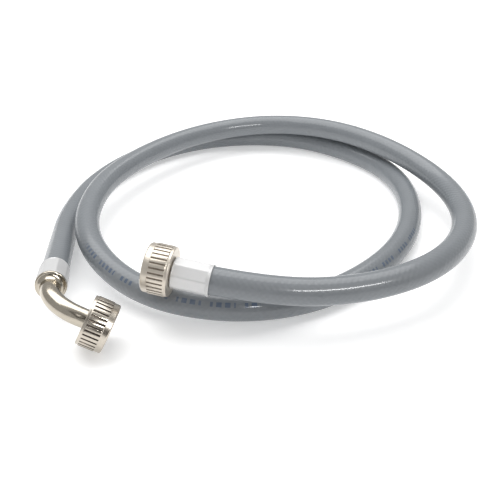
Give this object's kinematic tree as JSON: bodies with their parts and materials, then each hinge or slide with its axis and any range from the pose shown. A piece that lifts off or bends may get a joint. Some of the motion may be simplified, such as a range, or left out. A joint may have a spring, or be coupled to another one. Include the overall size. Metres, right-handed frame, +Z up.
{
  "type": "appliance inlet hose",
  "caption": "Grey reinforced appliance inlet hose in a loose coil, with a straight and an elbow fitting, crimped ferrules and knurled swivel nuts.",
  "frame": {"origin": "on the surface the hose lies on, under the middle of the two fittings", "axes": "+Z up; +X from the elbow fitting towards the straight fitting's hose; +Y from the fittings towards the far side of the coil"},
  "size_m": [0.2985, 0.3133, 0.0527],
  "materials": {
    "hose_skin": "smooth flexible grey PVC",
    "braid_yarn": "white textile yarn",
    "liner_tube": "smooth flexible PVC",
    "ferrule_aluminium": "satin, crimped",
    "nickel_plate": "polished nickel plate on brass",
    "seal_rubber": "moulded black rubber"
  },
  "bodies": {
    "hose_assembly": {"hose_cover": "hose_skin", "hose_braid": "braid_yarn", "hose_liner": "liner_tube", "straight_ferrule": "ferrule_aluminium", "straight_tail": "nickel_plate", "straight_washer": "seal_rubber", "elbow_ferrule": "ferrule_aluminium", "elbow_tube": "nickel_plate", "elbow_collar": "nickel_plate", "elbow_washer": "seal_rubber"},
    "straight_nut_body": {"straight_nut": "nickel_plate"},
    "elbow_nut_body": {"elbow_nut": "nickel_plate"}
  },
  "joints": [
    {"name": "straight_nut_spin", "type": "hinge", "parent": "hose_assembly", "child": "straight_nut_body", "pos_m": [0.01578, 0.00694, 0.03849], "axis": [-0.9727, 0.1945, 0.1265], "continuous": true},
    {"name": "elbow_nut_spin", "type": "hinge", "parent": "hose_assembly", "child": "elbow_nut_body", "pos_m": [-0.00364, -0.0175, 0.0126], "axis": [0.8939, -0.0702, -0.4428], "continuous": true}
  ]
}
